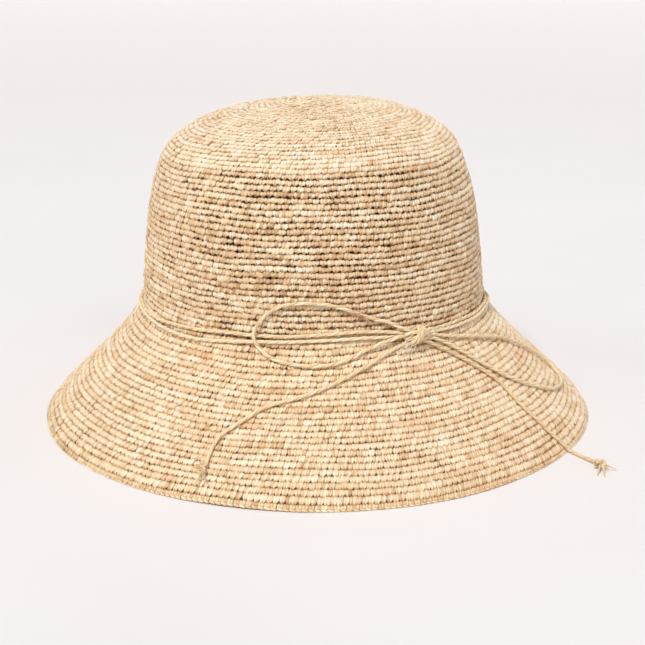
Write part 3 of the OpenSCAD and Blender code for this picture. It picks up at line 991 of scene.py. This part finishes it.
def make_knot():
    """The knot: two strands that cross the band, three slanting wraps over them and the loops' feet,
    and loose ends. Its lines are in millimetres across, outward and up from its middle."""
    centre, across, out = bow_frame()
    up = np.array([0, 0, 1.0])
    centre = centre + MM * (-1.3 * across + 0.6 * up)
    mesh = CordMesh()
    crossings = [[(-7.5, -0.6, 1.2), (-4.5, 1.2, 2.2), (-1.5, 2.0, 2.4), (1.8, 2.0, 1.6), (4.8, 1.2, 0.6),
                  (6.8, 0.2, 0.0)],
                 [(-7.0, -0.4, -1.4), (-4.0, 1.2, -0.8), (-1.0, 2.2, -0.2), (2.2, 1.9, 0.2), (5.0, 1.1, 1.6),
                  (7.2, 0.2, 2.4)]]
    for crossing in crossings:
        line = centre + MM * np.array([a * across + b * out + c * up for a, b, c in crossing])
        twist_cord(mesh, even_line(line, CORD_STEP), 1.9 * MM)
    for shift, turn, reach, tall in ((-2.2, 0.3, 3.0, 3.4), (-0.6, 0.8, 3.5, 3.9), (1.0, 1.3, 3.1, 3.7)):
        a = turn + TURN * np.linspace(0, 1, 60)
        line = (centre + across * (MM * (shift + 2.4 * np.sin(a)))[:, None]
                + out * (reach * MM * np.cos(a))[:, None] + up * (tall * MM * np.sin(a))[:, None])
        twist_cord(mesh, even_line(line, CORD_STEP), 1.65 * MM, lay=6 * MM, tone=0.6)
    mesh.finish("bow_knot_wraps", "trim", "raffia_cord", straws["cord"], "bow_knot")
    mesh = CordMesh()
    spikes = [(-8.5, -1.0, -0.9, 0.8), (-7.0, -2.2, -1.0, 0.6), (-5.5, -3.0, -1.2, -0.2),
              (-9.5, -3.8, -0.9, 0.9), (-4.0, -3.6, -0.8, -0.9), (2.6, 3.0, 0.5, 0.9),
              (3.4, 2.2, 0.9, 0.5), (-6.5, -0.4, 0.5, 0.9)]
    for side, rise, lean, climb in spikes:
        start = centre + MM * (side * across + 1.4 * out + rise * up)
        d = 0.55 * out + lean * across + climb * up
        fibre_hair(mesh, start, d, (3.0 + 2.0 * rng.random()) * MM, 0.27 * MM, 0.15, 1.1)
    for _ in range(7):
        start = centre + rng.uniform(-8, 0) * MM * across + out * 1.6 * MM - up * 2.5 * MM
        d = out * 0.2 + across * rng.uniform(-1.6, 0.2) - up * (0.4 + 0.5 * rng.random())
        fibre_hair(mesh, start, d, (5 + 6 * rng.random()) * MM, (0.10 + 0.08 * rng.random()) * MM, 0.3, 1.0)
    mesh.finish("bow_knot_wisps", "trim", "raffia_ends", straws["ends"], "knot_wisps")


def add_fuzz(mesh, line, hairs):
    """Short fibres that have worked loose from a cord, mostly pointing along it."""
    for i in rng.integers(1, len(line) - 1, hairs):
        along = unit(line[i + 1] - line[i - 1])
        out = unit(line[i] * (1, 1, 0))
        d = along * rng.choice([-1, 1]) + 0.35 * out + (0, 0, rng.uniform(-0.8, 0.8))
        fibre_hair(mesh, line[i] + 0.7 * MM * out, d, rng.uniform(2.5, 5) * MM, 0.13 * MM, 0.25, 0.95)


def make_turns():
    """The cord's two turns round the foot of the crown."""
    for name, node, route in (("upper_turn", "band_cord_upper", UPPER_TURN),
                              ("lower_turn", "band_cord_lower", LOWER_TURN)):
        line = even_line(route_on_hat(route), CORD_STEP, closed=True)[:-1]
        mesh = CordMesh()
        twist_cord(mesh, line, closed=True)
        add_fuzz(mesh, line, 26)
        mesh.finish(name, "trim", "raffia_cord", straws["cord"], node)


def stitches_in_round(s):
    """How many stitches a round has: the crown's side keeps its number, the tip and brim grow."""
    around = TURN * outline.radius(s)
    if s > SHOULDER_S:
        return max(6, 6 * round(around / (2.95 * MM) / 6))
    if s > JUNCTION_S:
        return 156 + 8 * int(s < JUNCTION_S + 30 * MM)
    width = 3.0 * MM + 0.6 * MM * smooth_step(s, JUNCTION_S - 30 * MM, JUNCTION_S)
    return 4 * round(around / width / 4)


def make_crochet():
    """The hat itself, from the start ring in the tip down to the finishing round at the hem."""
    start_s = outline.along(2.93)
    edge_s = outline.along(0.045)
    # The tip and the brim get lighter straws than the crown's side: painted light on the parts that face up.
    crochet("start_ring", "crochet_crown", straws["tip"], start_s, outline.length - 1.0 * MM, 3.05 * MM,
            jitter=0.6, plump=0.8, opening=0.3, tall=1.15)
    crochet("crown_tip", "crochet_crown", straws["tip"], SHOULDER_S, start_s, 2.85 * MM,
            jitter=1.0, plump=0.8, opening=0.5, tall=1.15)
    crochet("crown_side", "crochet_crown", straws["crown"], JUNCTION_S, SHOULDER_S, 3.05 * MM,
            jitter=1.0, plump=0.95, opening=1.95, tall=1.12)
    crochet("brim", "crochet_brim", straws["brim"], edge_s, JUNCTION_S, 3.3 * MM,
            jitter=0.9, plump=0.85, opening=0.6, tall=1.15)
    make_edge(edge_s)


def make_edge(edge_s):
    """The finishing round: a fine plait along the hem."""
    s = 0.55 * edge_s
    n = stitches_in_round(s)
    tubes = edge_stitch(TURN * outline.radius(s) / n, edge_s)
    done = stitch_round([tubes, tubes], n, s, 0.0, 0.4)
    belong(join_rounds("brim_edge", [done], straws["edge"]), "hat", "crochet_edge", "brim_edge")


def ribbon_piece(name, node, start, end, low, high, inner, thick, wave):
    """A band of ribbon inside the crown between two directions, as a thin closed sheet."""
    columns = max(8, int((end - start) / math.radians(1.5)))
    rows = 8
    verts = []
    for face in (0, 1):
        for v in np.linspace(0, 1, rows + 1):
            for a in np.linspace(start, end, columns + 1):
                ripple = 0.25 * math.sin(9 * a) + 0.2 * math.sin(23 * a + 1)
                r = inner + face * thick + wave * MM * ripple * v
                verts.append((r * math.cos(a), r * math.sin(a), low + v * (high - low)))

    def corner(face, place):
        return (face * (rows + 1) + place[0]) * (columns + 1) + place[1]

    faces = []
    for j in range(rows):
        for i in range(columns):
            square = [(j, i), (j + 1, i), (j + 1, i + 1), (j, i + 1)]
            faces.append([corner(0, place) for place in square])
            faces.append([corner(1, place) for place in reversed(square)])
    border = [(0, i) for i in range(columns)] + [(j, columns) for j in range(rows)]
    border += [(rows, i) for i in range(columns, 0, -1)] + [(j, 0) for j in range(rows, 0, -1)]
    for here, there in zip(border, border[1:] + border[:1]):
        faces.append([corner(0, here), corner(0, there), corner(1, there), corner(1, here)])
    piece = plain_mesh(name, verts, faces, ribbon_cloth)
    belong(piece, "hat", "ribbon", node)
    return piece


def make_sweatband():
    """The ribbon, which meets at the back, its end turned under behind it, and the running stitches
    along its lower edge."""
    low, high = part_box("sweatband")
    inner = high.x - 0.8 * MM
    half_join = math.radians(3.8)
    seam = math.radians(0.25)
    back = math.pi / 2
    band = ribbon_piece("sweatband_ribbon", "sweatband", back, back + TURN - seam, low.z, high.z,
                        inner, 0.5 * MM, 1.0)
    low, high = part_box("sweatband_join")
    join = ribbon_piece("sweatband_end", "sweatband_join", back - half_join, back + half_join,
                        low.z, high.z, inner + 0.75 * MM, 0.4 * MM, 0.3)
    mesh = CordMesh()
    z = box_middle("sweatband_stitching")[2]
    stitches, points = 48, 7
    t = np.linspace(-1, 1, points)
    for i in range(stitches):
        az = (i + 0.5) * TURN / stitches + math.radians(1.0) * t
        outward = np.stack([np.cos(az), np.sin(az), np.zeros(points)], axis=1)
        r = inner + 0.35 * MM - 0.55 * MM * np.sqrt(np.maximum(0, 1 - t * t))
        upward = np.tile([0.0, 0.0, 1.0], (points, 1))
        mesh.tube(r[:, None] * outward + z * upward, outward, upward, 0.22 * MM, 0.3 * MM, 0.5, 0.5, sides=6)
    mesh.finish("sweatband_stitches", "hat", "thread", sewing_thread, "sweatband_stitching")


# -------- making it

# Each raffia: dark, middle and light tone, tint, share of strands with the tint, strength of streaks.
STRAWS = {
    # The tip's and the brim's straws are lighter copies of the crown's: painted light where the straw faces
    # up to the lamps.
    "tip": ((206, 168, 124), (247, 220, 185), (255, 247, 230), (230, 184, 138), 0.045, 1.0),
    "crown": ((186, 145, 100), (234, 202, 161), (253, 241, 218), (218, 166, 116), 0.045, 1.0),
    "brim": ((200, 158, 112), (241, 212, 174), (253, 240, 216), (224, 174, 130), 0.045, 1.0),
    "edge": ((192, 152, 106), (232, 202, 160), (250, 234, 204), (222, 172, 126), 0.06, 1.0),
    "cord": ((176, 136, 90), (229, 200, 154), (250, 234, 202), (212, 174, 126), 0.05, 1.2),
    "ends": ((190, 152, 104), (233, 206, 162), (251, 239, 212), (230, 200, 160), 0.05, 1.0),
    "splice": ((150, 92, 54), (206, 146, 98), (240, 206, 166), (190, 112, 70), 0.5, 1.0),
}
straws = {name: raffia_material("raffia_" + name, *look) for name, look in STRAWS.items()}
ribbon_cloth = ribbon_material()
sewing_thread = thread_material()

make_camera()
make_bow()
make_knot()
make_turns()
make_crochet()
make_sweatband()
make_studio_floor()
make_light()
